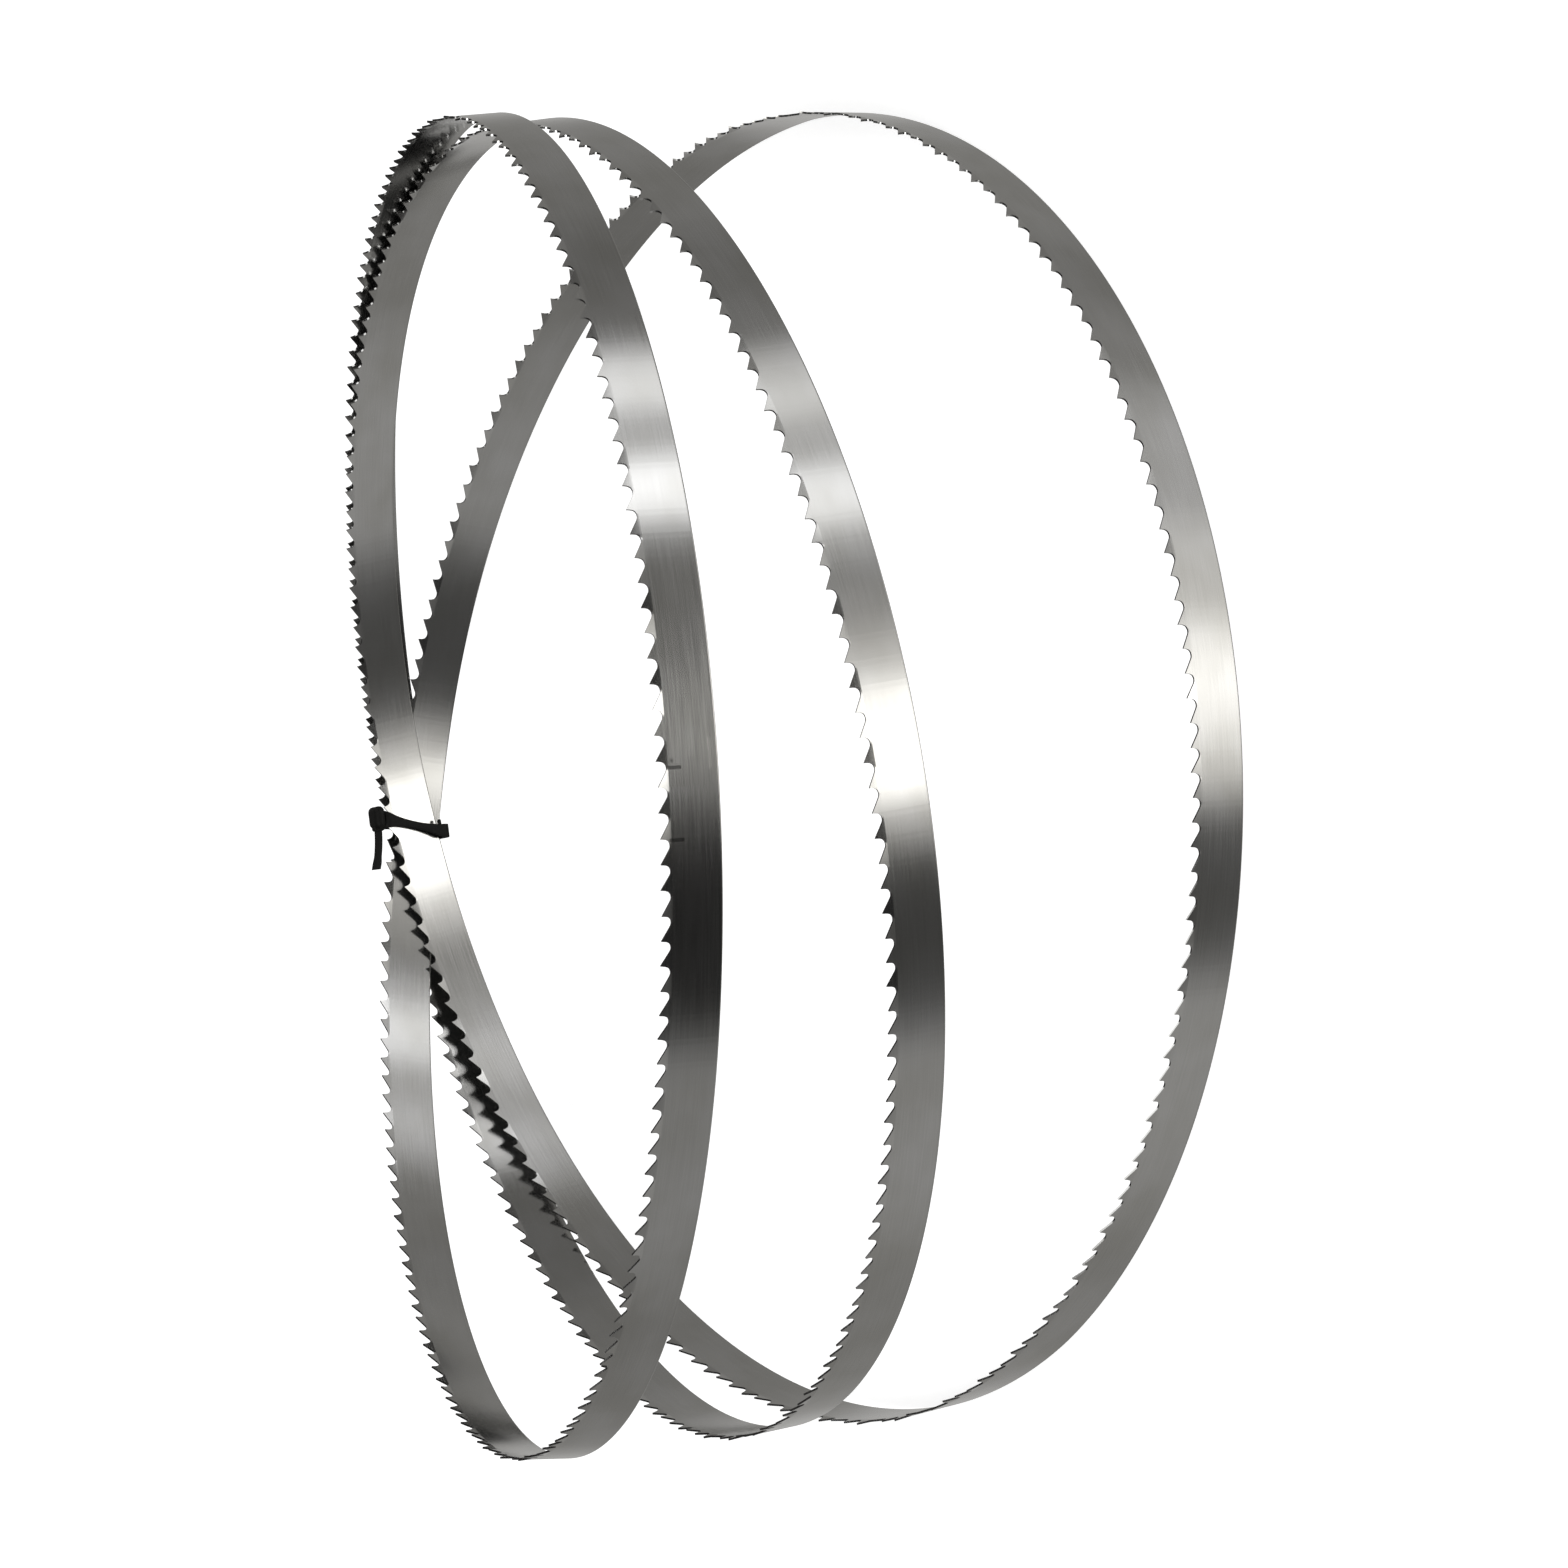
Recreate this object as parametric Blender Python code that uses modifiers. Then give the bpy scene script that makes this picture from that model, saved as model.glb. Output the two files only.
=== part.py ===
# Band saw blade: an endless toothed steel band, folded into three coils that a black tie holds together.
# The lowest coil lies on its back edge with its teeth up; the other two fan up and away from the tie.
# Metres, +Z up. The origin is at the bottom centre of the bounding box. The tie is at -X.
import bmesh
import bpy
import numpy as np
from math import cos, pi, radians, sin, tan
from mathutils import Matrix, Vector

# Band
BLADE_WIDTH = 0.016          # back edge to tooth tips
BLADE_THICKNESS = 0.00056
TOOTH_PITCH = 0.00635        # four teeth to the inch
TOOTH_DEPTH = 0.0025
TOOTH_SET = 0.00035          # sideways bend of the set teeth
SET_PATTERN = (1, -1, 0)     # outward, inward, straight

# Tooth form, as shares of the pitch behind the tip and of the depth below it
BACK_END = (0.60, 0.93)      # foot of the long sloped back
GULLET_BOTTOM = (0.79, 1.00)
RAKE_FOOT = (0.95, 0.70)     # foot of the steep cutting face of the next tooth

# Coils, seen from above: depth from the tie to the near side, span across, and how far each strays
# from an even oval. Surge sends its first half forward and its second half back, sway moves its near
# side sideways, and tip raises its first half and lowers its second half.
LOW_DEPTH = 0.3740
LOW_SPAN = 0.3685
LOW_SURGE = -0.0007
LOW_SWAY = 0.0004
MIDDLE_DEPTH = 0.3615
MIDDLE_SPAN = 0.3665
MIDDLE_SURGE = 0.0022
MIDDLE_SWAY = -0.0003
MIDDLE_TIP = 0.0016
TOP_DEPTH = 0.3530
TOP_SPAN = 0.3675
TOP_SURGE = -0.0018
TOP_SWAY = 0.0005
TOP_TIP = -0.0024
TIE_RADIUS = 0.1855          # bend of every strand where the tie holds it
LOW_DROP_ANGLE = radians(116)  # turn over which the low coil comes down from the tie to the ground
LOW_CLIMB_ANGLE = radians(94)  # turn over which its other end climbs back to the tie

# The three strands in the tie, each named from the coil it leaves and the coil it enters.
# Height is that of the strand's middle line above the low coil's, slope is its fall towards the coil
# it enters, roll leans its teeth away from the coils' centre, and offset is inward from the bundle.
LOW_TO_TOP_HEIGHT = 0.0335
LOW_TO_TOP_SLOPE = radians(-11.75)
LOW_TO_TOP_ROLL = radians(10.0)
LOW_TO_TOP_OFFSET = 0.0
TOP_TO_MIDDLE_HEIGHT = 0.0330
TOP_TO_MIDDLE_SLOPE = radians(7.25)
TOP_TO_MIDDLE_ROLL = radians(12.0)
TOP_TO_MIDDLE_OFFSET = -0.0035
MIDDLE_TO_LOW_HEIGHT = 0.03575
MIDDLE_TO_LOW_SLOPE = radians(10.25)
MIDDLE_TO_LOW_ROLL = radians(3.5)
MIDDLE_TO_LOW_OFFSET = 0.00375

# Where the band's ends are welded: turn of the top coil, from the tie, to the first tooth's tip
WELD_TURN = radians(175.4)

# Tie: a flat soft strap round the three strands, with a knot beyond the tooth tips and a loose tail
TIE_PLACE = -0.0011          # how far the strap lies from the middle of the hold, along the band
TIE_THICKNESS = 0.0010
TIE_WIDTH = 0.0050
TIE_WAIST = 0.0023           # width where the strap is pinched in the middle of its long runs
TIE_SKEW = 0.0060            # how far the strap slants along the band from the teeth to the back edge
TIE_CLEARANCE = 0.0003
TIE_CORNER = 0.0016          # inner bend of the strap round the bundle's edges
TIE_STEP = 0.0016            # length of the strap's facets
KNOT_LENGTH = 0.0068         # along the band
KNOT_DEPTH = 0.0080          # from the inner to the outer strand
KNOT_HEIGHT = 0.0034         # beyond the tooth tips
KNOT_LEAD = 0.0007           # how far the knot lies before the strap, along the band
KNOT_INSET = 0.0034          # how far it lies inward of the strap's middle
KNOT_ROUNDING = 0.0012
TAIL_LENGTH = 0.0125         # beyond the knot
TAIL_WIDTH = 0.0028
TAIL_THICKNESS = 0.0012
TAIL_BEND = 0.0022           # how far the tail's end leans away from the teeth

SAMPLES_PER_COIL = 720
STEEL_COLOUR = (0.42, 0.41, 0.39, 1.0)
STRAP_COLOUR = (0.012, 0.012, 0.011, 1.0)


def clear_scene():
    for item in list(bpy.data.objects):
        bpy.data.objects.remove(item, do_unlink=True)


def new_material(name, colour, metallic, roughness):
    material = bpy.data.materials.new(name)
    material.use_nodes = True
    shader = material.node_tree.nodes["Principled BSDF"]
    shader.inputs["Base Color"].default_value = colour
    shader.inputs["Metallic"].default_value = metallic
    shader.inputs["Roughness"].default_value = roughness
    material.diffuse_color = colour
    return material


# Shape of the fold

class Strand:
    """One pass of the band through the tie: where it is and how it lies there."""

    def __init__(self, height, slope, roll, offset):
        self.height = height
        self.climb = -tan(slope) * TIE_RADIUS
        self.lean = tan(roll) * TIE_RADIUS
        self.offset = offset


LOW_TO_TOP = Strand(LOW_TO_TOP_HEIGHT, LOW_TO_TOP_SLOPE, LOW_TO_TOP_ROLL, LOW_TO_TOP_OFFSET)
TOP_TO_MIDDLE = Strand(TOP_TO_MIDDLE_HEIGHT, TOP_TO_MIDDLE_SLOPE, TOP_TO_MIDDLE_ROLL, TOP_TO_MIDDLE_OFFSET)
MIDDLE_TO_LOW = Strand(MIDDLE_TO_LOW_HEIGHT, MIDDLE_TO_LOW_SLOPE, MIDDLE_TO_LOW_ROLL, MIDDLE_TO_LOW_OFFSET)


def least_twist_terms(turn):
    """The six terms of a round band's height that need the least twist, with their two slopes."""
    one = np.ones_like(turn)
    zero = np.zeros_like(turn)
    c = np.cos(turn)
    s = np.sin(turn)
    value = np.stack([one, turn, c, s, turn * c, turn * s], axis=-1)
    slope = np.stack([zero, one, -s, c, c - turn * s, s + turn * c], axis=-1)
    bend = np.stack([zero, zero, -c, -s, -2 * s - turn * c, 2 * c - turn * s], axis=-1)
    return value, slope, bend


def sprung_height(turn, start, end, tip):
    """Height round a coil that springs freely between two strands held in the tie."""
    value, slope, bend = least_twist_terms(np.array([0.0, 2 * pi]))
    held = [start.height, end.height, start.climb, end.climb, start.lean, end.lean]
    shares = np.linalg.solve(np.concatenate([value, slope, bend]), held)
    return least_twist_terms(turn)[0] @ shares + tip * np.sin(turn) * (1 - np.cos(turn))


def rise(turn, height, climb, lean, over):
    """Smooth drop from a held strand, at turn 0, down to the level run of the low coil."""
    part = np.clip(turn / over, 0.0, 1.0)
    a = height
    b = climb * over
    c = lean * over ** 2 / 2
    level = np.array([[1.0, 1.0, 1.0], [3.0, 4.0, 5.0], [6.0, 12.0, 20.0]])
    d, e, f = np.linalg.solve(level, [-(a + b + c), -(b + 2 * c), -2 * c])
    return np.where(part < 1.0, a + part * (b + part * (c + part * (d + part * (e + part * f)))), 0.0)


def resting_height(turn, start, end):
    """Height round the coil that lies on the ground and rises to the tie at both ends."""
    down = rise(turn, start.height, start.climb, start.lean, LOW_DROP_ANGLE)
    up = rise(2 * pi - turn, end.height, -end.climb, end.lean, LOW_CLIMB_ANGLE)
    return down + up


def coil_points(turn, depth, span, start, end, surge, sway, height):
    """One turn of the middle line, from the tie round the near side and back to the tie."""
    away = 1 - np.cos(turn)
    across = np.sin(turn)
    held = np.where(turn < pi, start.offset, end.offset) * (1 + np.cos(turn)) / 2
    x = TIE_RADIUS * away + (depth / 2 - TIE_RADIUS) * away ** 2 / 2 + held + surge * across * away
    y = -across * (TIE_RADIUS + (span / 2 - TIE_RADIUS) * away) + sway * away ** 2
    return np.stack([x, y, height + BLADE_WIDTH / 2], axis=1)


def unit(rows):
    return rows / np.linalg.norm(rows, axis=1)[:, None]


class FoldedBand:
    """The closed middle line of the band and the directions along, across and out of it."""

    def __init__(self):
        turn = np.arange(SAMPLES_PER_COIL) * 2 * pi / SAMPLES_PER_COIL
        points = np.concatenate([
            coil_points(turn, TOP_DEPTH, TOP_SPAN, LOW_TO_TOP, TOP_TO_MIDDLE, TOP_SURGE, TOP_SWAY,
                        sprung_height(turn, LOW_TO_TOP, TOP_TO_MIDDLE, TOP_TIP)),
            coil_points(turn, MIDDLE_DEPTH, MIDDLE_SPAN, TOP_TO_MIDDLE, MIDDLE_TO_LOW, MIDDLE_SURGE,
                        MIDDLE_SWAY, sprung_height(turn, TOP_TO_MIDDLE, MIDDLE_TO_LOW, MIDDLE_TIP)),
            coil_points(turn, LOW_DEPTH, LOW_SPAN, MIDDLE_TO_LOW, LOW_TO_TOP, LOW_SURGE, LOW_SWAY,
                        resting_height(turn, MIDDLE_TO_LOW, LOW_TO_TOP)),
        ])
        first = round(WELD_TURN / (2 * pi) * SAMPLES_PER_COIL)
        points = np.roll(points, -first, axis=0)
        self.start_sample = first
        before = np.roll(points, 1, axis=0)
        after = np.roll(points, -1, axis=0)
        along = unit(after - before)
        # The band bends only about its width, so its width lies square to the plane of the bend.
        across = unit(np.cross(after - before, after - 2 * points + before))
        self.points = np.vstack([points, points[:1]])
        self.along = np.vstack([along, along[:1]])
        self.across = np.vstack([across, across[:1]])
        steps = np.linalg.norm(np.diff(self.points, axis=0), axis=1)
        self.run = np.concatenate([[0.0], np.cumsum(steps)])
        self.length = self.run[-1]

    def frame(self, run):
        """Point, and unit directions along the band, towards its teeth and towards the coil's centre."""
        run = run % self.length
        point = Vector([float(np.interp(run, self.run, self.points[:, i])) for i in range(3)])
        along = Vector([float(np.interp(run, self.run, self.along[:, i])) for i in range(3)]).normalized()
        across = Vector([float(np.interp(run, self.run, self.across[:, i])) for i in range(3)])
        across = (across - along * across.dot(along)).normalized()
        return point, along, across, across.cross(along)

    def place(self, run, height, outward=0.0):
        """Where a point of the flat strip goes: run along it, height above its back edge."""
        point, along, across, inward = self.frame(run)
        return point + across * (height - BLADE_WIDTH / 2) - inward * outward

    def run_at_tie(self, coil):
        """Run of the strand that enters the given coil: 0 is top, 1 is middle, 2 is low."""
        sample = (coil * SAMPLES_PER_COIL - self.start_sample) % (3 * SAMPLES_PER_COIL)
        return self.run[sample]


def build_blade(band, collection, material):
    """A toothed sheet, one loop round the fold, made solid by Solidify."""
    teeth = round(band.length / TOOTH_PITCH)
    pitch = band.length / teeth
    mesh = bmesh.new()

    def corner(tooth, share, drop, outward=0.0):
        run = (tooth + share) * pitch
        return mesh.verts.new(band.place(run, BLADE_WIDTH - drop * TOOTH_DEPTH, outward))

    tips = []
    back_ends = []
    bottoms = []
    rake_feet = []
    back_edge = []
    for tooth in range(teeth):
        lean = SET_PATTERN[tooth % len(SET_PATTERN)] * TOOTH_SET
        tips.append(corner(tooth, 0.0, 0.0, lean))
        back_ends.append(corner(tooth, *BACK_END))
        bottoms.append(corner(tooth, *GULLET_BOTTOM))
        rake_feet.append(corner(tooth, *RAKE_FOOT))
        run = (tooth + RAKE_FOOT[0]) * pitch
        back_edge.append(mesh.verts.new(band.place(run, 0.0)))
    for tooth in range(teeth):
        last = tooth - 1
        mesh.faces.new((tips[tooth], rake_feet[last], back_ends[tooth]))
        mesh.faces.new((rake_feet[last], back_edge[last], back_ends[tooth]))
        mesh.faces.new((back_ends[tooth], back_edge[last], back_edge[tooth], bottoms[tooth]))
        mesh.faces.new((bottoms[tooth], back_edge[tooth], rake_feet[tooth]))
    data = bpy.data.meshes.new("blade")
    mesh.to_mesh(data)
    mesh.free()
    data.materials.append(material)
    blade = bpy.data.objects.new("blade", data)
    collection.objects.link(blade)
    solid = blade.modifiers.new("thickness", "SOLIDIFY")
    solid.thickness = BLADE_THICKNESS
    solid.offset = 0.0
    return blade


# Tie

class Bundle:
    """Middle of the three strands in the tie, with directions along, inward and towards the teeth."""

    def __init__(self, band):
        frames = [band.frame(band.run_at_tie(coil)) for coil in range(3)]
        self.band = band
        self.middle = sum((f[0] for f in frames), Vector()) / 3
        self.along = sum((f[1] for f in frames), Vector()).normalized()
        across = sum((f[2] for f in frames), Vector())
        self.across = (across - self.along * across.dot(self.along)).normalized()
        self.inward = self.across.cross(self.along)

    def reach(self, direction, place, width):
        """How far the strands come in a direction, over a width of strap at a place along them."""
        furthest = []
        half = BLADE_THICKNESS / 2 + TOOTH_SET
        for coil in range(3):
            held = self.band.run_at_tie(coil)
            for step in range(-20, 21):
                run = held + place + step / 10 * width
                for height in (0.0, BLADE_WIDTH):
                    for side in (-half, half):
                        corner = self.band.place(run, height, side) - self.middle
                        if abs(corner.dot(self.along) - place) <= width / 2:
                            furthest.append(corner.dot(direction))
        return max(furthest)

    def place(self, along, inward, across):
        return self.middle + self.along * along + self.inward * inward + self.across * across

    def turn(self):
        """Matrix that turns local X along the band, Y inward and Z towards the teeth."""
        return Matrix((self.along, self.inward, self.across)).transposed().to_4x4()


def rounded_rectangle(inner, outer, toothed, back):
    """The strap's inside surface round the bundle, as evenly stepped (inward, across) pairs."""
    corners = []
    for start, side, height in ((0, inner, toothed), (90, -outer, toothed), (180, -outer, -back),
                                (270, inner, -back)):
        middle_turn = radians(start + 45)
        side -= np.sign(cos(middle_turn)) * TIE_CORNER
        height -= np.sign(sin(middle_turn)) * TIE_CORNER
        for step in range(4):
            angle = radians(start + 30 * step)
            corners.append(Vector((side + TIE_CORNER * cos(angle), height + TIE_CORNER * sin(angle))))
    outline = []
    for here, there in zip(corners, corners[1:] + corners[:1]):
        parts = max(1, round((there - here).length / TIE_STEP))
        outline += [here.lerp(there, part / parts) for part in range(parts)]
    return outline


def solid_sheet(name, rows, closed, thickness, offset):
    """An open sheet through rows of points, made solid by Solidify."""
    mesh = bmesh.new()
    grid = [[mesh.verts.new(point) for point in row] for row in rows]
    pairs = list(zip(grid, grid[1:] + grid[:1])) if closed else list(zip(grid, grid[1:]))
    for here, there in pairs:
        for i in range(len(here) - 1):
            mesh.faces.new((here[i], here[i + 1], there[i + 1], there[i]))
    data = bpy.data.meshes.new(name)
    mesh.to_mesh(data)
    mesh.free()
    sheet = bpy.data.objects.new(name, data)
    solid = sheet.modifiers.new("thickness", "SOLIDIFY")
    solid.thickness = thickness
    solid.offset = offset
    solid.use_even_offset = True
    return sheet


def build_tie(bundle, collection, tools, material):
    toothed_place = TIE_PLACE - TIE_SKEW / 2
    back_place = TIE_PLACE + TIE_SKEW / 2
    toothed = bundle.reach(bundle.across, toothed_place, TIE_WIDTH) + TIE_CLEARANCE
    back = bundle.reach(-bundle.across, back_place, TIE_WIDTH) + TIE_CLEARANCE
    inner = bundle.reach(bundle.inward, TIE_PLACE, TIE_WIDTH + TIE_SKEW) + TIE_CLEARANCE
    outer = bundle.reach(-bundle.inward, TIE_PLACE, TIE_WIDTH + TIE_SKEW) + TIE_CLEARANCE

    # Strap: a slanting ring, narrow in the middle of its two long runs
    rows = []
    for side, height in rounded_rectangle(inner, outer, toothed, back):
        share = (toothed - height) / (toothed + back)
        middle = toothed_place + TIE_SKEW * share
        half = (TIE_WAIST + (TIE_WIDTH - TIE_WAIST) * (2 * share - 1) ** 2) / 2
        rows.append([bundle.place(middle - half, side, height),
                     bundle.place(middle + half, side, height)])
    tie = solid_sheet("tie", rows, True, TIE_THICKNESS, -1.0)
    tie.data.materials.append(material)
    collection.objects.link(tie)

    # Knot: a rounded block on the strap, beyond the tooth tips
    knot_place = toothed_place - KNOT_LEAD
    knot_foot = bundle.reach(bundle.across, knot_place, KNOT_LENGTH) + TIE_CLEARANCE
    knot_height = max(knot_foot, toothed) + KNOT_HEIGHT / 2
    knot_side = (inner - outer) / 2 + KNOT_INSET
    bpy.ops.mesh.primitive_cube_add(size=1.0)
    knot = bpy.context.object
    knot.name = "knot"
    for owner in list(knot.users_collection):
        owner.objects.unlink(knot)
    tools.objects.link(knot)
    knot.data.transform(Matrix.Diagonal((KNOT_LENGTH, KNOT_DEPTH, KNOT_HEIGHT, 1.0)))
    knot.matrix_world = bundle.turn()
    knot.location = bundle.place(knot_place, knot_side, knot_height)
    rounding = knot.modifiers.new("rounding", "BEVEL")
    rounding.width = KNOT_ROUNDING
    rounding.segments = 3

    # Tail: the strap's loose end, hanging from the knot and leaning away from the teeth
    rows = []
    steps = 8
    rooted = KNOT_LENGTH / 4
    for step in range(steps + 1):
        reach = step / steps * (TAIL_LENGTH + rooted)
        lean = TAIL_BEND * (reach / (TAIL_LENGTH + rooted)) ** 2
        along = knot_place + KNOT_LENGTH / 2 - rooted + reach
        rows.append([bundle.place(along, knot_side, knot_height + lean - TAIL_WIDTH / 2),
                     bundle.place(along, knot_side, knot_height + lean + TAIL_WIDTH / 2)])
    tail = solid_sheet("tail", rows, False, TAIL_THICKNESS, 0.0)
    tools.objects.link(tail)

    for tool in (knot, tail):
        joined = tie.modifiers.new("with " + tool.name, "BOOLEAN")
        joined.operation = "UNION"
        joined.solver = "EXACT"
        joined.object = tool
        tool.hide_render = True
        tool.hide_set(True)
    return tie


def bottom_centre(objects):
    """Bottom centre of the objects' bounding box, after their modifiers."""
    depsgraph = bpy.context.evaluated_depsgraph_get()
    corners = []
    for item in objects:
        mesh = item.evaluated_get(depsgraph).to_mesh()
        corners += [vertex.co for vertex in mesh.vertices]
    low = [min(corner[i] for corner in corners) for i in range(3)]
    high = [max(corner[i] for corner in corners) for i in range(3)]
    return Vector(((low[0] + high[0]) / 2, (low[1] + high[1]) / 2, low[2]))


def main():
    clear_scene()
    collection = bpy.data.collections.new("band_saw_blade")
    tools = bpy.data.collections.new("tools")
    bpy.context.scene.collection.children.link(collection)
    bpy.context.scene.collection.children.link(tools)
    steel = new_material("steel", STEEL_COLOUR, 1.0, 0.32)
    strap = new_material("strap", STRAP_COLOUR, 0.0, 0.55)
    band = FoldedBand()
    blade = build_blade(band, collection, steel)
    tie = build_tie(Bundle(band), collection, tools, strap)
    centre = bottom_centre((blade, tie))
    for item in list(collection.objects) + list(tools.objects):
        item.location -= centre


main()
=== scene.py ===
from math import cos, pi, radians, sin, tan

import bpy
import numpy as np
from mathutils import Matrix, Vector


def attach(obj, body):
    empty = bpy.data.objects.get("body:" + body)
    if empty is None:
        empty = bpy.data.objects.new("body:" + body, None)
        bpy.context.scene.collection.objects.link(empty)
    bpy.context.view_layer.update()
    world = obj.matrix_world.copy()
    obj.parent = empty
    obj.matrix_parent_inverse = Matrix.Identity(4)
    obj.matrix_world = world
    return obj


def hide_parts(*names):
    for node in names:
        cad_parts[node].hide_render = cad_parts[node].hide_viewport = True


# Band saw blade: a toothed steel band folded into three coils, with a black tie round its three
# strands. Sizes are in metres and repeat the part's own, so that both follow the same fold.

# Band
BLADE_WIDTH = 0.016          # back edge to tooth tips
BLADE_THICKNESS = 0.00056
TOOTH_PITCH = 0.00635
TOOTH_DEPTH = 0.0025
TOOTH_SET = 0.00035          # sideways bend of the set teeth
SET_PATTERN = (1, -1, 0)     # outward, inward, straight
SAMPLES_PER_COIL = 720
PART_ORIGIN = Vector((-0.183574, -0.0002029, 0.0000047))  # of the part's objects

# Coils, seen from above: depth from the tie to the near side, span across, and how far each strays
# from an even oval, by surge (half of it forward, half back), sway (sideways) and tip (up and down)
TOP_DEPTH = 0.3530
TOP_SPAN = 0.3675
TOP_SURGE = -0.0018
TOP_SWAY = 0.0005
TOP_TIP = -0.0024
MIDDLE_DEPTH = 0.3615
MIDDLE_SPAN = 0.3665
MIDDLE_SURGE = 0.0022
MIDDLE_SWAY = -0.0003
MIDDLE_TIP = 0.0016
LOW_DEPTH = 0.3740
LOW_SPAN = 0.3685
LOW_SURGE = -0.0007
LOW_SWAY = 0.0004
TIE_RADIUS = 0.1855          # bend of every strand where the tie holds it
LOW_DROP_ANGLE = radians(116)   # turn over which the low coil comes down from the tie
LOW_CLIMB_ANGLE = radians(94)   # turn over which its other end climbs back to the tie
WELD_TURN = radians(175.4)      # of the top coil, from the tie to the weld

# Tie
TIE_PLACE = -0.0011          # of the strap along the band, from the middle of the hold
TIE_THICKNESS = 0.0010
TIE_WIDTH = 0.0050
TIE_WAIST = 0.0023           # width where the strap is pinched, in the middle of its long runs
TIE_SKEW = 0.0060            # slant of the strap along the band, from the teeth to the back edge
TIE_CLEARANCE = 0.0003
TIE_CORNER = 0.0016          # inner bend of the strap round the bundle's edges
KNOT_LENGTH = 0.0068
KNOT_DEPTH = 0.0080
KNOT_HEIGHT = 0.0034
KNOT_LEAD = 0.0007           # how far the knot lies before the strap, along the band
KNOT_INSET = 0.0034          # how far it lies inward of the strap's middle
KNOT_ROUNDING = 0.0012
TAIL_LENGTH = 0.0125
TAIL_WIDTH = 0.0028
TAIL_THICKNESS = 0.0012
TAIL_BEND = 0.0022           # how far the tail's end leans away from the teeth

# Forms of the band that only the scene shows
PROFILE = (  # one tooth, from its tip to the next: share of the pitch, share of the depth
    (0.00, 0.00), (0.20, 0.31), (0.40, 0.625), (0.56, 0.870), (0.62, 0.955),
    (0.67, 0.992), (0.72, 1.00), (0.78, 0.985), (0.84, 0.94), (0.89, 0.865), (0.93, 0.76),
    (0.96, 0.62), (0.98, 0.45), (0.992, 0.22),
)
NEXT_TOOTH = 0.75            # share of the pitch from which the profile belongs to the next tooth
BEND_HEIGHT = BLADE_WIDTH - 1.06 * TOOTH_DEPTH  # where the set teeth start to lean
BEND_REACH = 0.00025         # the bend is soft over this far on both sides of that line
GULLET_MARGIN = 0.00002      # the bend's upper line stays this far below the toothed edge
BACK_EASE = 0.00035          # the back edge is eased over this height
BACK_CURVE = ((1.0, 1.0), (0.35, 0.86), (0.0, 0.5))  # share of that height, and of the thickness

# Forms of the soft tie that only the scene shows
STRAP_STEP = 0.0005          # length of the strap's facets
CORNER_STEPS = 8             # facets of the strap in each of its bends
STRAP_FLARE = 0.0003         # widening of each side of the strap as it meets the teeth
FLARE_FROM = 0.25            # share of the way from the teeth to the back edge where that starts
STRAP_TUCK = 0.3             # share of half its width that is folded in at the back edge
TUCK_FROM = 0.86             # share of the way to the back edge where that starts
EDGE_ROUNDING = 0.0003       # of the strap's and the tail's edges
KNOT_SOFTENING = 1.35        # the knot's rounding, against the part's
COLLAR_LENGTH = 0.0016       # the knot's bulge where the tail leaves it
COLLAR_OVER = (0.0016, 0.0006)  # how much thicker and wider it is than the tail
COLLAR_ROUNDING = 0.0006
TAIL_STEPS = 56              # rings of the tail, one rib to every two
TAIL_RIB = 0.00007           # depth of the ribs
TAIL_NARROW = 0.84           # share of its width that the tail has before its end
TAIL_WIDENS = 0.8            # share of its length from which it widens to the full width
FOLD_SIZE = (0.0026, 0.0010, 0.0012)  # fold of the strap that stands up at the back edge
FOLD_ROUNDING = 0.00045
FOLD_BESIDE = 0.0003         # how far its middle lies beside the strap
FOLD_RAISED = 0.0024         # and towards the teeth from the strap's underside
FOLD_SUNK = 0.45             # and inward, as a share of the strap's thickness


# Fold of the band

class Strand:
    """One pass of the band through the tie. Its height is above the low coil's, its slope is a
    fall towards the coil it enters, its roll leans the teeth outward, and its offset is inward."""

    def __init__(self, height, slope, roll, offset):
        self.height = height
        self.climb = -tan(radians(slope)) * TIE_RADIUS
        self.lean = tan(radians(roll)) * TIE_RADIUS
        self.offset = offset


LOW_TO_TOP = Strand(height=0.0335, slope=-11.75, roll=10.0, offset=0.0)
TOP_TO_MIDDLE = Strand(height=0.0330, slope=7.25, roll=12.0, offset=-0.0035)
MIDDLE_TO_LOW = Strand(height=0.03575, slope=10.25, roll=3.5, offset=0.00375)


def least_twist_terms(turn):
    """Terms of the height that twists a coil the least, and their first and second slopes."""
    one, zero = np.ones_like(turn), np.zeros_like(turn)
    c, s = np.cos(turn), np.sin(turn)
    value = np.stack([one, turn, c, s, turn * c, turn * s], axis=-1)
    slope = np.stack([zero, one, -s, c, c - turn * s, s + turn * c], axis=-1)
    bend = np.stack([zero, zero, -c, -s, -2 * s - turn * c, 2 * c - turn * s], axis=-1)
    return value, slope, bend


def sprung_height(turn, start, end, tip):
    """Height of a coil that springs free between its two strands in the tie."""
    value, slope, bend = least_twist_terms(np.array([0.0, 2 * pi]))
    held = [start.height, end.height, start.climb, end.climb, start.lean, end.lean]
    shares = np.linalg.solve(np.concatenate([value, slope, bend]), held)
    return least_twist_terms(turn)[0] @ shares + tip * np.sin(turn) * (1 - np.cos(turn))


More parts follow.
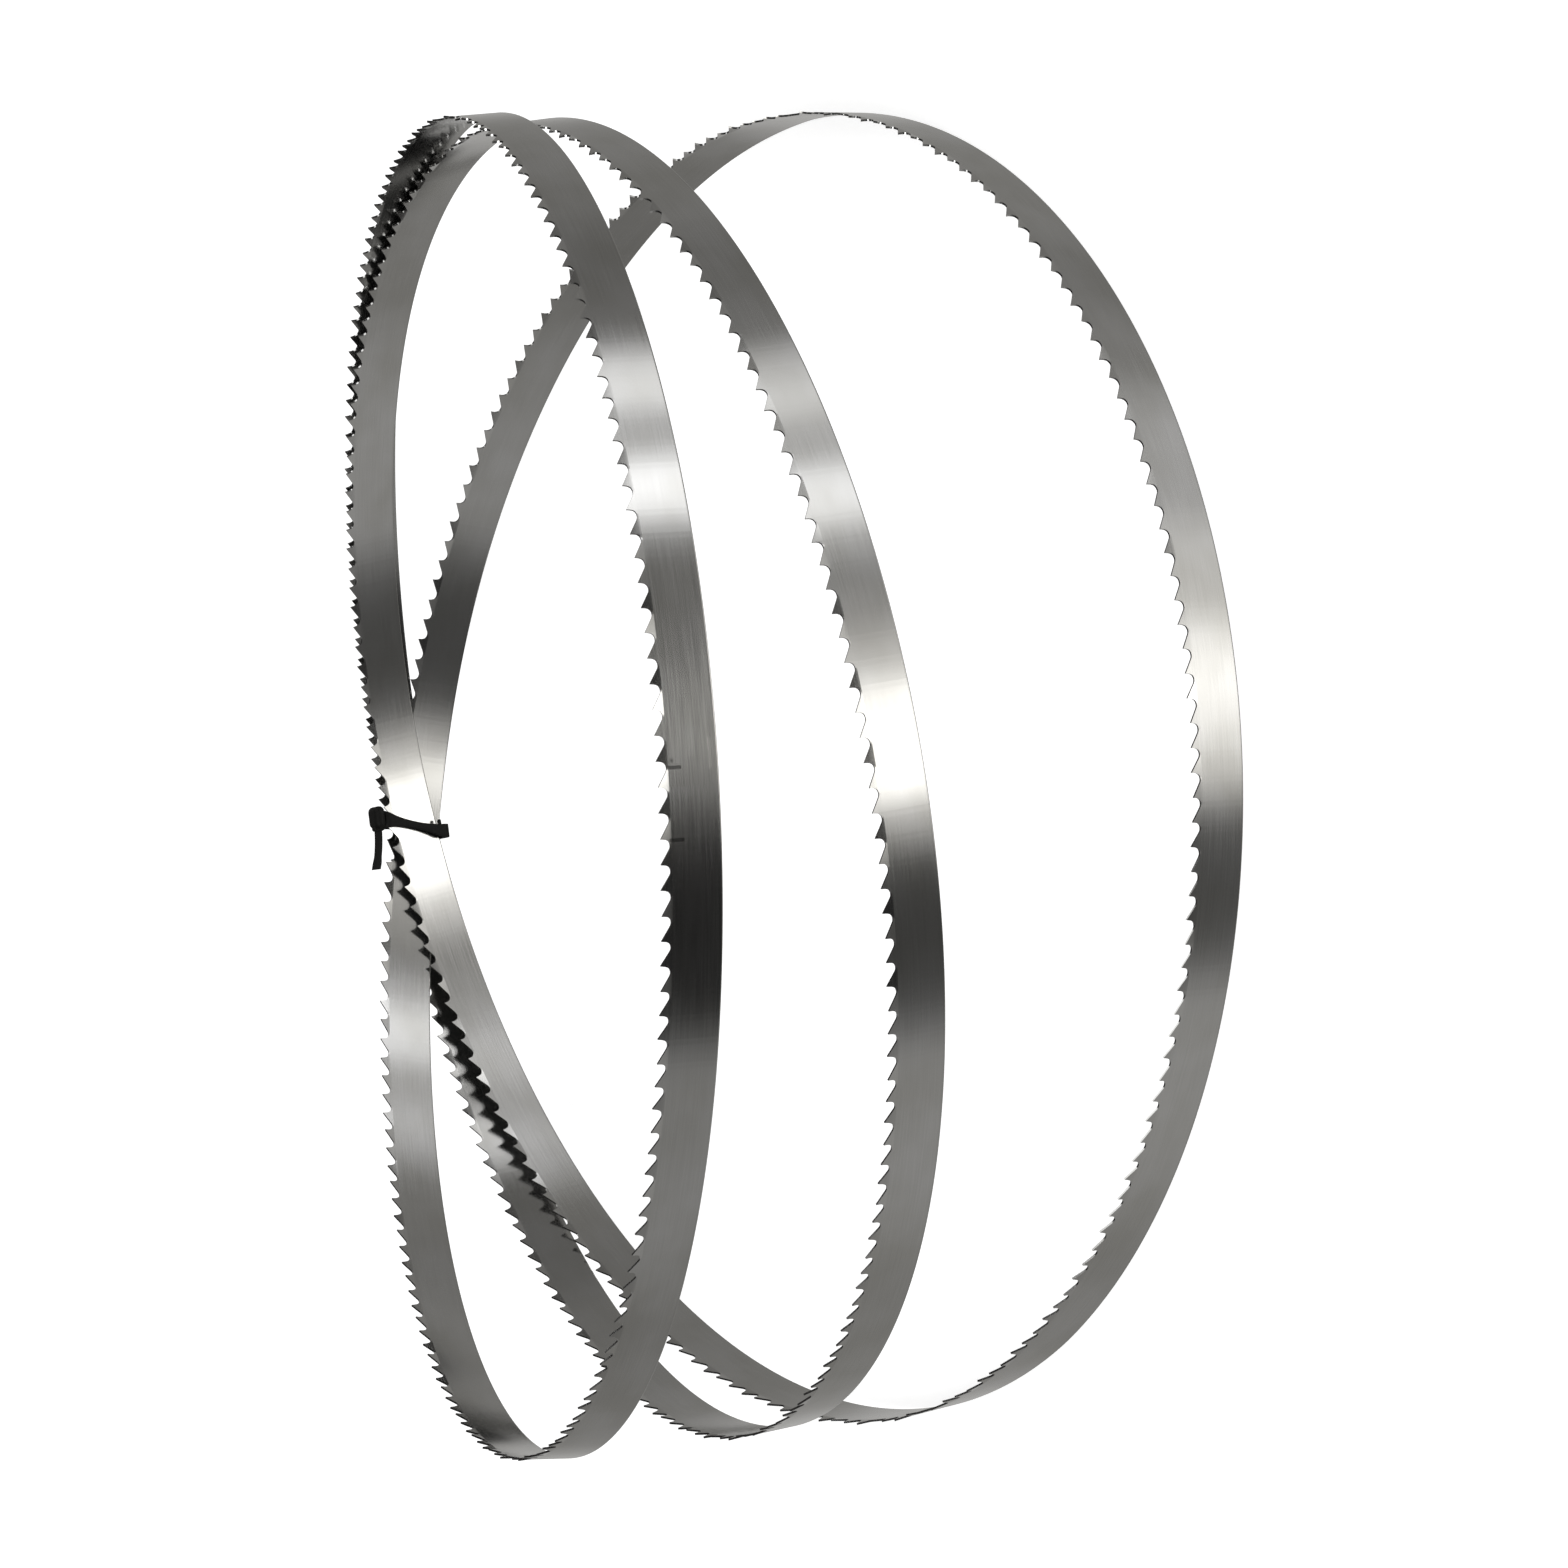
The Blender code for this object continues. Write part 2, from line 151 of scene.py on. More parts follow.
def rise(turn, height, climb, lean, over):
    """Height of one end of the low coil, from the tie down to the ground, over an angle."""
    part = np.clip(turn / over, 0.0, 1.0)
    a, b, c = height, climb * over, lean * over ** 2 / 2
    level = np.array([[1.0, 1.0, 1.0], [3.0, 4.0, 5.0], [6.0, 12.0, 20.0]])
    d, e, f = np.linalg.solve(level, [-(a + b + c), -(b + 2 * c), -2 * c])
    above = a + part * (b + part * (c + part * (d + part * (e + part * f))))
    return np.where(part < 1.0, above, 0.0)


def resting_height(turn, start, end):
    """Height of the low coil, which rests on the ground between its two strands in the tie."""
    return (rise(turn, start.height, start.climb, start.lean, LOW_DROP_ANGLE)
            + rise(2 * pi - turn, end.height, -end.climb, end.lean, LOW_CLIMB_ANGLE))


def coil_points(turn, depth, span, start, end, surge, sway, height):
    away = 1 - np.cos(turn)
    across = np.sin(turn)
    held = np.where(turn < pi, start.offset, end.offset) * (1 + np.cos(turn)) / 2
    x = TIE_RADIUS * away + (depth / 2 - TIE_RADIUS) * away ** 2 / 2 + held + surge * across * away
    y = -across * (TIE_RADIUS + (span / 2 - TIE_RADIUS) * away) + sway * away ** 2
    return np.stack([x, y, height + BLADE_WIDTH / 2], axis=1)


def unit(rows):
    return rows / np.linalg.norm(rows, axis=-1, keepdims=True)


class FoldedBand:
    """The closed middle line of the band, and its directions along, across and inward."""

    def __init__(self):
        turn = np.arange(SAMPLES_PER_COIL) * 2 * pi / SAMPLES_PER_COIL
        points = np.concatenate([
            coil_points(turn, TOP_DEPTH, TOP_SPAN, LOW_TO_TOP, TOP_TO_MIDDLE, TOP_SURGE, TOP_SWAY,
                        sprung_height(turn, LOW_TO_TOP, TOP_TO_MIDDLE, TOP_TIP)),
            coil_points(turn, MIDDLE_DEPTH, MIDDLE_SPAN, TOP_TO_MIDDLE, MIDDLE_TO_LOW, MIDDLE_SURGE,
                        MIDDLE_SWAY, sprung_height(turn, TOP_TO_MIDDLE, MIDDLE_TO_LOW, MIDDLE_TIP)),
            coil_points(turn, LOW_DEPTH, LOW_SPAN, MIDDLE_TO_LOW, LOW_TO_TOP, LOW_SURGE, LOW_SWAY,
                        resting_height(turn, MIDDLE_TO_LOW, LOW_TO_TOP)),
        ])
        self.first = round(WELD_TURN / (2 * pi) * SAMPLES_PER_COIL)
        points = np.roll(points, -self.first, axis=0)
        before, after = np.roll(points, 1, axis=0), np.roll(points, -1, axis=0)
        along = unit(after - before)
        # The band bends only about its width, so its width lies square to the plane of the bend.
        across = unit(np.cross(after - before, after - 2 * points + before))
        self.points = np.vstack([points, points[:1]])
        self.along = np.vstack([along, along[:1]])
        self.across = np.vstack([across, across[:1]])
        steps = np.linalg.norm(np.diff(self.points, axis=0), axis=1)
        self.run = np.concatenate([[0.0], np.cumsum(steps)])
        self.length = self.run[-1]

    def between(self, rows, run):
        columns = [np.interp(run % self.length, self.run, rows[:, i]) for i in range(3)]
        return np.stack(columns, axis=-1)

    def frame(self, run):
        """Middle point and directions along, across and inward, at a run from the weld."""
        along = unit(self.between(self.along, run))
        across = self.between(self.across, run)
        across = unit(across - along * (across * along).sum(axis=-1, keepdims=True))
        return self.between(self.points, run), along, across, np.cross(across, along)

    def place(self, run, height, outward):
        """Points of the strip: run along it, height above its back edge, outward from its middle."""
        point, _, across, inward = self.frame(run)
        raised = across * (height - BLADE_WIDTH / 2)[..., None]
        return point + raised - inward * outward[..., None] + np.array(PART_ORIGIN)

    def run_at_tie(self, coil):
        return self.run[(coil * SAMPLES_PER_COIL - self.first) % (3 * SAMPLES_PER_COIL)]


def new_mesh_object(name, vertices, faces, material, smooth_below=35, sharp_rows=None):
    """A smooth mesh, sharp above an angle and along the edges between vertices of a sharp row."""
    mesh = bpy.data.meshes.new(name)
    mesh.from_pydata([tuple(v) for v in vertices], [], faces)
    mesh.materials.append(material)
    mesh.shade_smooth()
    mesh.set_sharp_from_angle(angle=radians(smooth_below))
    if sharp_rows is not None:
        ends = np.empty(2 * len(mesh.edges), dtype=np.int32)
        mesh.edges.foreach_get("vertices", ends)
        rows = sharp_rows[ends].reshape(-1, 2)
        sharp = np.empty(len(mesh.edges), dtype=bool)
        mesh.attributes["sharp_edge"].data.foreach_get("value", sharp)
        sharp |= (rows[:, 0] == rows[:, 1]) & (rows[:, 0] >= 0)
        mesh.attributes["sharp_edge"].data.foreach_set("value", sharp)
    made = bpy.data.objects.new(name, mesh)
    bpy.context.scene.collection.objects.link(made)
    return made


def set_lean(height, side_of_tooth):
    """How far a set tooth has left the middle of the band at a height."""
    above = height - (BEND_HEIGHT - BEND_REACH)
    soft = np.clip(above, 0, 2 * BEND_REACH) ** 2 / (4 * BEND_REACH)
    straight = np.clip(above - 2 * BEND_REACH, 0, None)
    return side_of_tooth * (soft + straight) * TOOTH_SET / (BLADE_WIDTH - BEND_HEIGHT)


def strip_faces(columns, count):
    """Faces of a closed strip with two sides of some rows each, column by column: the sides' faces
    row by row, then the face on the first rows and the one on the last rows."""
    faces = []
    back = count * columns
    low = (count - 1) * columns
    for i in range(columns):
        j = (i + 1) % columns
        for side in (0, 1):
            for row in range(count - 1):
                base = side * back + row * columns
                a, b, c, d = base + i, base + j, base + columns + j, base + columns + i
                faces.append((a, d, c, b) if side == 0 else (a, b, c, d))
        faces.append((i, j, back + j, back + i))
        faces.append((low + j, low + i, back + low + i, back + low + j))
    return faces


def unroll(blade, columns, along, up):
    """UV of the band: the share of its length and of its width, without a jump at the weld."""
    mesh = blade.data
    index = np.empty(len(mesh.loops), dtype=np.int32)
    mesh.loops.foreach_get("vertex_index", index)
    u = along[index]
    column = np.repeat(np.arange(columns), len(mesh.loops) // columns)
    u = np.where((column == columns - 1) & (u < 0.5), u + 1.0, u)
    uv = np.stack([u, up[index]], axis=1)
    layer = mesh.uv_layers.new(name="UVMap")
    layer.data.foreach_set("uv", uv.astype(np.float32).ravel())
    mesh.update()


def build_blade(band, material):
    """The toothed band, with round gullets, set teeth and an eased back edge."""
    teeth = round(band.length / TOOTH_PITCH)
    share = np.array([p[0] for p in PROFILE])
    drop = np.array([p[1] for p in PROFILE])
    columns = teeth * len(PROFILE)
    run = ((np.arange(teeth)[:, None] + share[None, :]) * (band.length / teeth)).ravel()
    top = BLADE_WIDTH - np.tile(drop, teeth) * TOOTH_DEPTH
    # A tooth's own points lean with it: those of its back, and those of the rake face before it.
    owner = (np.arange(teeth)[:, None] + (share[None, :] > NEXT_TOOTH)).ravel() % teeth
    side_of_tooth = np.array([SET_PATTERN[i % 3] for i in range(teeth)])[owner]

    # Rows of points from the toothed edge to the back edge: height, half thickness, and the number
    # of a row along which the edges are sharp, or -1
    half = BLADE_THICKNESS / 2
    rows = [
        (top, half, -1),
        (np.minimum(BEND_HEIGHT + BEND_REACH, top - GULLET_MARGIN), half, -1),
        (np.full(columns, BEND_HEIGHT - BEND_REACH), half, 2),
    ]
    for number, (up, thick) in zip((3, -1, -1), BACK_CURVE):
        rows.append((np.full(columns, BACK_EASE * up), half * thick, number))
    vertices = np.concatenate([
        band.place(run, height, set_lean(height, side_of_tooth) + side * thick)
        for side in (1, -1) for height, thick, _ in rows
    ])
    sharp_rows = np.tile(np.repeat([number for _, _, number in rows], columns), 2)
    blade = new_mesh_object("blade_band", vertices, strip_faces(columns, len(rows)), material,
                            sharp_rows=sharp_rows)
    heights = np.concatenate([height for height, _, _ in rows] * 2)
    unroll(blade, columns, np.tile(run, 2 * len(rows)) / band.length, heights / BLADE_WIDTH)
    return blade


class Bundle:
    """Middle of the three strands in the tie, with directions along, inward and towards the teeth."""

    def __init__(self, band):
        self.band = band
        self.held = [band.run_at_tie(coil) for coil in range(3)]
        point, along, across, _ = band.frame(np.array(self.held))
        self.middle = point.mean(axis=0) + np.array(PART_ORIGIN)
        self.along = unit(along.sum(axis=0))
        across = across.sum(axis=0)
        self.across = unit(across - self.along * (across @ self.along))
        self.inward = np.cross(self.across, self.along)

    def reach(self, direction, place, width):
        """How far the strands come in a direction, over a width of strap at a place along them."""
        furthest = []
        steps = np.arange(-20, 21) / 10 * width
        for held in self.held:
            run = held + place + steps
            for height in (0.0, BLADE_WIDTH):
                for side in (-1, 1):
                    out = side * (BLADE_THICKNESS / 2 + TOOTH_SET)
                    spots = self.band.place(run, np.full_like(run, height), np.full_like(run, out))
                    spots = spots - self.middle
                    near = np.abs(spots @ self.along - place) <= width / 2
                    furthest.append((spots[near] @ direction).max())
        return max(furthest)

    def place(self, along, inward, across):
        """Points from arrays or numbers of the three directions."""
        along, inward, across = np.broadcast_arrays(along, inward, across)
        return (self.middle + along[..., None] * self.along + inward[..., None] * self.inward
                + across[..., None] * self.across)


def rounded_section(half_width, half_depth, rounding, steps=4):
    """Outline of a strap's cross-section as (width, depth) pairs, with rounded edges."""
    pairs = []
    for quarter, (sx, sy) in enumerate(((1, 1), (-1, 1), (-1, -1), (1, -1))):
        for step in range(steps + 1):
            angle = pi / 2 * (quarter + step / steps)
            pairs.append((sx * (half_width - rounding) + rounding * cos(angle),
                          sy * (half_depth - rounding) + rounding * sin(angle)))
    return pairs


def sweep(rings, closed):
    """Vertices and faces of a tube through rings of points, closed on itself or with flat ends."""
    count, size = len(rings), len(rings[0])
    vertices = [tuple(point) for ring in rings for point in ring]
    faces = []
    for i in range(count if closed else count - 1):
        j = (i + 1) % count
        for k in range(size):
            n = (k + 1) % size
            faces.append((i * size + k, i * size + n, j * size + n, j * size + k))
    if not closed:
        faces.append(tuple(reversed(range(size))))
        faces.append(tuple((count - 1) * size + k for k in range(size)))
    return vertices, faces


def smooth_step(value, low, high):
    part = min(max((value - low) / (high - low), 0.0), 1.0)
    return part * part * (3 - 2 * part)


def strap_path(inner, outer, toothed, back):
    """The strap's inside surface round the bundle: place, and direction outward, at small steps."""
    corners = []
    for start, side, height in ((0, inner, toothed), (90, -outer, toothed), (180, -outer, -back),
                                (270, inner, -back)):
        turn = radians(start + 45)
        side -= np.sign(cos(turn)) * TIE_CORNER
        height -= np.sign(sin(turn)) * TIE_CORNER
        for step in range(CORNER_STEPS + 1):
            angle = radians(start + 90 * step / CORNER_STEPS)
            out = np.array([cos(angle), sin(angle)])
            corners.append((np.array([side, height]) + TIE_CORNER * out, out))
    path = []
    for (here, out), (there, out_there) in zip(corners, corners[1:] + corners[:1]):
        parts = max(1, round(np.linalg.norm(there - here) / STRAP_STEP))
        for part in range(parts):
            way = (out_there - out) * part / parts
            path.append((here + (there - here) * part / parts, unit(out + way)))
    return path


def block(bundle, place, size, rounding, levels=6):
    """A rounded block, its faces finely divided. Size and place are (along, inward, across)."""
    lines = np.linspace(-1.0, 1.0, 2 * levels + 1)
    vertices, faces = [], []
    half = np.array(size) / 2
    for axis in range(3):
        for side in (-1.0, 1.0):
            start = len(vertices)
            for u in lines:
                for v in lines:
                    corner = np.empty(3)
                    corner[axis], corner[(axis + 1) % 3], corner[(axis + 2) % 3] = side, u, v
                    flat = corner * half
                    core = np.clip(flat, -(half - rounding), half - rounding)
                    away = flat - core
                    length = np.linalg.norm(away)
                    spot = core + (away / length * rounding if length > 0 else 0)
                    vertices.append(bundle.place(*(np.array(place) + spot)))
            n = len(lines)
            for i in range(n - 1):
                for j in range(n - 1):
                    a = start + i * n + j
                    quad = (a, a + n, a + n + 1, a + 1)
                    faces.append(quad if side > 0 else quad[::-1])
    return vertices, faces


def build_tie(bundle, material):
    """Strap, knot and tail, with the small folds that the soft strap shows."""
    toothed_place = TIE_PLACE - TIE_SKEW / 2
    back_place = TIE_PLACE + TIE_SKEW / 2
    toothed = bundle.reach(bundle.across, toothed_place, TIE_WIDTH) + TIE_CLEARANCE
    back = bundle.reach(-bundle.across, back_place, TIE_WIDTH) + TIE_CLEARANCE
    inner = bundle.reach(bundle.inward, TIE_PLACE, TIE_WIDTH + TIE_SKEW) + TIE_CLEARANCE
    outer = bundle.reach(-bundle.inward, TIE_PLACE, TIE_WIDTH + TIE_SKEW) + TIE_CLEARANCE

    # Strap
    strap = []
    for spot, out in strap_path(inner, outer, toothed, back):
        share = (toothed - spot[1]) / (toothed + back)
        middle = toothed_place + TIE_SKEW * share
        half = (TIE_WAIST + (TIE_WIDTH - TIE_WAIST) * (2 * share - 1) ** 2) / 2
        half += STRAP_FLARE * smooth_step(FLARE_FROM - share, 0.0, FLARE_FROM)
        cut = half * STRAP_TUCK * smooth_step(share, TUCK_FROM, 1.0)
        ring = []
        for wide, deep in rounded_section(half - cut / 2, TIE_THICKNESS / 2, EDGE_ROUNDING):
            side, height = spot + out * (deep + TIE_THICKNESS / 2)
            ring.append(bundle.place(middle - cut / 2 + wide, side, height))
        strap.append(ring)

    # Knot, with the collar that the tail leaves it through
    knot_place = toothed_place - KNOT_LEAD
    foot = bundle.reach(bundle.across, knot_place, KNOT_LENGTH) + TIE_CLEARANCE
    knot_height = max(foot, toothed) + KNOT_HEIGHT / 2
    knot_side = (inner - outer) / 2 + KNOT_INSET
    knot = block(bundle, (knot_place, knot_side, knot_height),
                 (KNOT_LENGTH, KNOT_DEPTH, KNOT_HEIGHT), KNOT_ROUNDING * KNOT_SOFTENING)
    thicker, wider = COLLAR_OVER
    collar = block(bundle, (knot_place + KNOT_LENGTH / 2, knot_side, knot_height),
                   (COLLAR_LENGTH, TAIL_THICKNESS + thicker, TAIL_WIDTH + wider), COLLAR_ROUNDING)

    # Tail
    tail = []
    rooted = KNOT_LENGTH / 4
    for step in range(TAIL_STEPS + 1):
        reach = step / TAIL_STEPS * (TAIL_LENGTH + rooted)
        widening = smooth_step(reach, TAIL_WIDENS * TAIL_LENGTH, TAIL_LENGTH)
        half_width = TAIL_WIDTH / 2 * (TAIL_NARROW + (1 - TAIL_NARROW) * widening)
        half_depth = TAIL_THICKNESS / 2 - TAIL_RIB * (step % 2)
        lean = TAIL_BEND * (reach / (TAIL_LENGTH + rooted)) ** 2
        along = knot_place + KNOT_LENGTH / 2 - rooted + reach
        tail.append([bundle.place(along, knot_side + deep, knot_height + lean + wide)
                     for wide, deep in rounded_section(half_width, half_depth, EDGE_ROUNDING)])

    fold_place = (back_place - TIE_WIDTH / 2 - FOLD_BESIDE, inner + TIE_THICKNESS * FOLD_SUNK,
                  -back + FOLD_RAISED)
    fold = block(bundle, fold_place, FOLD_SIZE, FOLD_ROUNDING)
    vertices, faces = [], []
    for more_vertices, more_faces in (sweep(strap, True), knot, collar, sweep(tail, False), fold):
        faces += [tuple(len(vertices) + i for i in face) for face in more_faces]
        vertices += more_vertices
    return new_mesh_object("tie_strap", vertices, faces, material, smooth_below=50)


def finish_piece(piece, node):
    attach(piece, "root")
    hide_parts(node)


# Materials

# Brightness of the steel by its streaks and by its height above the back edge, and its roughness
# by its streaks. Each is a ramp: from low, from high, value at low, value at high.
GRAIN = (0.25, 0.75, 0.96, 1.03)
# Painted shade: the steel's colour darkens towards the back edge.
BACK_EDGE_SHADE = (0.0001, 0.0008, 0.84, 1.0)
POLISH = (0.2, 0.8, 0.155, 0.205)

# Darker and lighter spots painted on the band near the weld: middle and half size of each, run from
# the weld and height, in metres, with a soft edge, and how dark it is, below zero lighter.
MARKS = (
    (0.0047, 0.0117, 0.00028, 0.0018, 0.00035, 0.60),
    (-0.0131, 0.0117, 0.00028, 0.0018, 0.00035, 0.50),
    (0.0064, 0.0121, 0.0001, 0.0001, 0.0007, 0.35),
    (0.0040, 0.0055, 0.0015, 0.0035, 0.0050, 0.07),
    (0.0078, 0.0024, 0.0038, 0.0001, 0.00025, -0.22),
    (0.0078, 0.0019, 0.0034, 0.0001, 0.00015, -0.16),
)


class NodeKit:
    """Small helper that builds sums and ramps out of nodes."""

    def __init__(self, tree):
        self.nodes, self.links = tree.nodes, tree.links

    def ramp(self, value, low, high, at_low, at_high):
        node = self.nodes.new("ShaderNodeMapRange")
        node.interpolation_type = "SMOOTHSTEP"
        node.inputs["From Min"].default_value = low
        node.inputs["From Max"].default_value = high
        node.inputs["To Min"].default_value = at_low
        node.inputs["To Max"].default_value = at_high
        self.links.new(value, node.inputs["Value"])
        return node.outputs["Result"]

    def combine(self, operation, *values):
        """A maths node on numbers and outputs of other nodes."""
        node = self.nodes.new("ShaderNodeMath")
        node.operation = operation
        for socket, value in zip(node.inputs, values):
            if isinstance(value, float):
                socket.default_value = value
            else:
                self.links.new(value, socket)
        return node.outputs["Value"]

    def near(self, value, middle, half, soft):
        """1 within a distance of a value, 0 beyond it."""
        away = self.combine("ABSOLUTE", self.combine("SUBTRACT", value, middle))
        return self.ramp(away, half, half + soft, 1.0, 0.0)

    def background(self):
        """1 for the rays that show the white background, the camera's and those through glass."""
        rays = self.nodes.new("ShaderNodeLightPath").outputs
        return self.combine("MAXIMUM", rays["Is Camera Ray"], rays["Is Transmission Ray"])


def new_material(name):
    material = bpy.data.materials.new(name)
    material.use_nodes = True
    return material, material.node_tree.nodes["Principled BSDF"], NodeKit(material.node_tree)


def steel_material(length):
    """Bright rolled strip: streaks along it, faint patches, painted shade along the back edge, and
    darker and lighter spots near the weld.
    """
    material, shader, kit = new_material("brushed_steel")
    nodes, links = kit.nodes, kit.links
    shader.inputs["Metallic"].default_value = 1.0
    shader.inputs["Anisotropic"].default_value = 0.6
    shader.inputs["Anisotropic Rotation"].default_value = 0.25
    uv = nodes.new("ShaderNodeUVMap")
    uv.uv_map = "UVMap"
    tangent = nodes.new("ShaderNodeTangent")
    tangent.direction_type = "UV_MAP"
    tangent.uv_map = "UVMap"
    links.new(tangent.outputs["Tangent"], shader.inputs["Tangent"])

    def noise(scale, detail):
        stretch = nodes.new("ShaderNodeMapping")
        stretch.inputs["Scale"].default_value = scale
        links.new(uv.outputs["UV"], stretch.inputs["Vector"])
        texture = nodes.new("ShaderNodeTexNoise")
        texture.inputs["Scale"].default_value = 1.0
        texture.inputs["Detail"].default_value = detail
        links.new(stretch.outputs["Vector"], texture.inputs["Vector"])
        return texture.outputs["Fac"]

    streaks = noise((160.0, 34.0, 1.0), 5.0)
    patches = noise((150.0, 0.9, 1.0), 2.0)
    tint = nodes.new("ShaderNodeValToRGB")
    tint.color_ramp.elements[0].position = 0.34
    tint.color_ramp.elements[0].color = (0.520, 0.516, 0.500, 1.0)
    tint.color_ramp.elements[1].position = 0.66
    tint.color_ramp.elements[1].color = (0.592, 0.590, 0.586, 1.0)
    links.new(patches, tint.inputs["Fac"])

    parts = nodes.new("ShaderNodeSeparateXYZ")
    links.new(uv.outputs["UV"], parts.inputs["Vector"])
    run = kit.combine("MULTIPLY", kit.combine("WRAP", parts.outputs["X"], 0.5, -0.5), length)
    height = kit.combine("MULTIPLY", parts.outputs["Y"], BLADE_WIDTH)
    # Painted shade: the colour darkens over the lowest part of the band, towards its back edge.
    edge_shade_and_spots = kit.ramp(height, *BACK_EDGE_SHADE)
    # Darker and lighter spots near the weld, painted into the colour.
    for at, up, half_run, half_height, soft, strength in MARKS:
        beside, above = kit.near(run, at, half_run, soft), kit.near(height, up, half_height, soft)
        mark = kit.combine("MULTIPLY", kit.combine("MULTIPLY", beside, above), strength)
        edge_shade_and_spots = kit.combine("MULTIPLY", edge_shade_and_spots, kit.combine("SUBTRACT", 1.0, mark))
    shown = nodes.new("ShaderNodeMix")
    shown.data_type = "RGBA"
    shown.blend_type = "MULTIPLY"
    shown.inputs["Factor"].default_value = 1.0
    links.new(tint.outputs["Color"], shown.inputs["A"])
    links.new(kit.combine("MULTIPLY", kit.ramp(streaks, *GRAIN), edge_shade_and_spots), shown.inputs["B"])
    links.new(shown.outputs["Result"], shader.inputs["Base Color"])
    links.new(kit.ramp(streaks, *POLISH), shader.inputs["Roughness"])
    return material


def strap_material():
    """Soft black strap, slightly uneven in tone."""
    material, shader, kit = new_material("black_strap")
    nodes, links = kit.nodes, kit.links
    shader.inputs["Roughness"].default_value = 0.6
    shader.inputs["Specular IOR Level"].default_value = 0.22
    place = nodes.new("ShaderNodeTexCoord")
    noise = nodes.new("ShaderNodeTexNoise")
    noise.inputs["Scale"].default_value = 900.0
    noise.inputs["Detail"].default_value = 4.0
    links.new(place.outputs["Object"], noise.inputs["Vector"])
    tint = nodes.new("ShaderNodeValToRGB")
    tint.color_ramp.elements[0].color = (0.0040, 0.0040, 0.0036, 1.0)
    tint.color_ramp.elements[1].color = (0.0100, 0.0095, 0.0085, 1.0)
    links.new(noise.outputs["Fac"], tint.inputs["Fac"])
    links.new(tint.outputs["Color"], shader.inputs["Base Color"])
    return material


# Stage

FLOOR_SIZE = 8.0
FLOOR_GLOW = 0.60            # its own light for the camera, which brings it to white
FLAG_HEIGHT = 0.0004         # of the dark cards above the floor

# Dark cards that lie on the floor outside the coils, corner by corner. Only the steel sees them.
FLAGS = (
    ((-0.280, 0.136), (-0.280, 0.000), (-0.200, -0.012), (-0.168, -0.012), (-0.1635, 0.050),
     (-0.167, 0.136)),
    ((-0.245, -0.062), (-0.245, -0.108), (-0.198, -0.108), (-0.198, -0.062)),
)

# What the steel reflects: soft panels round the object, by direction, angles in degrees.
# Each row: azimuth of the middle, half width, softness, lowest and highest elevation, strength.
KEY_PANELS = (
    (2.3, 8.0, 3.8, -27.0, -13.6, 2.12),
    (2.5, 13.9, 7.0, -27.0, -14.8, 1.05),
    (18.5, 5.5, 5.5, -16.5, -11.0, 0.58),
    (0.6, 11.3, 9.5, -60.0, -27.0, 0.86),
    (15.5, 12.8, 12.5, -60.0, -27.0, 0.65),
)
SIDE_PANELS = (
    (39.3, 3.9, 3.3, -12.0, 2.0, 1.36),
    (42.0, 3.4, 3.3, -18.5, -12.0, 1.34),
    (59.9, 4.0, 4.2, -14.5, 3.0, 0.90),
    (62.6, 4.6, 4.6, -19.5, -14.5, 0.98),
    (46.0, 13.2, 8.9, -60.0, 2.0, 0.28),
    (46.0, 13.2, 5.0, -19.0, 2.0, 0.26),
    (-56.0, 26.0, 24.0, -60.0, 10.0, 0.12),
    (178.5, 14.8, 18.4, -60.0, 10.0, 0.15),
    (178.5, 34.0, 16.0, -60.0, -29.0, 0.08),
)
# Darker patches of the studio, in the same way, with the share of the light that they take
CARDS = (
    (-31.5, 9.2, 11.6, -60.0, 20.0, 0.72),
    (-27.0, 15.5, 7.0, -17.5, 20.0, 0.80),
    (89.5, 3.7, 9.2, -60.0, 20.0, 0.13),
    (13.0, 8.0, 7.0, -9.0, 20.0, 0.42),
)
PANEL_EDGE = 3.6             # softness of the lower and upper edges, in degrees
ROOM = 0.305                 # light of the room beside the panels, where it is brightest
ROOM_FADE = (-39.5, 21.7, 0.07)  # the room darkens between these elevations to this share
WARM = (1.0, 0.984, 0.946)   # tint of the room and the key panels
PLAIN = (0.995, 0.997, 1.0)  # tint of the side panels
DIFFUSE_LIGHT = 0.55         # the world's light on what doesn't shine

# Lamps: name, size, power and place
LAMPS = (
    ("key", 1.2, 18.0, (1.2, -1.0, 1.8)),
    ("fill", 1.6, 12.0, (-0.6, 1.6, 1.6)),
)
LAMP_TARGET = (0.0, 0.0, 0.05)

# The camera, as fitted to the photograph's outlines
PHOTO_SIZE = 1568.0          # pixels
FOCAL_LENGTH = 5538.4286     # pixels
SENSOR = 36.0                # millimetres
CAMERA_PLACE = Vector((1.512901, -0.080708, 0.842359 + BLADE_WIDTH / 2)) + PART_ORIGIN
CAMERA_TURNS = (("Z", -3.3234), ("Y", -31.9439), ("X", -3.5195))  # degrees, the last turn first
CAMERA_CLIP = (0.05, 20.0)


def floor_material():
    """Pale floor that the camera sees as white, less its shadows."""
    material, shader, kit = new_material("pale_floor")
    shader.inputs["Base Color"].default_value = (0.80, 0.80, 0.80, 1.0)
    shader.inputs["Roughness"].default_value = 0.9
    shader.inputs["Specular IOR Level"].default_value = 0.0
    shader.inputs["Emission Color"].default_value = (1.0, 1.0, 1.0, 1.0)
    glow = kit.combine("MULTIPLY", kit.background(), FLOOR_GLOW)
    kit.links.new(glow, shader.inputs["Emission Strength"])
    return material


def add_floor():
    """The floor. The steel doesn't reflect it, but shows the studio below the horizon too."""
    bpy.ops.mesh.primitive_plane_add(size=FLOOR_SIZE, location=(0.0, 0.0, 0.0))
    floor = bpy.context.object
    floor.name = "floor"
    floor.data.materials.append(floor_material())
    floor.visible_glossy = False


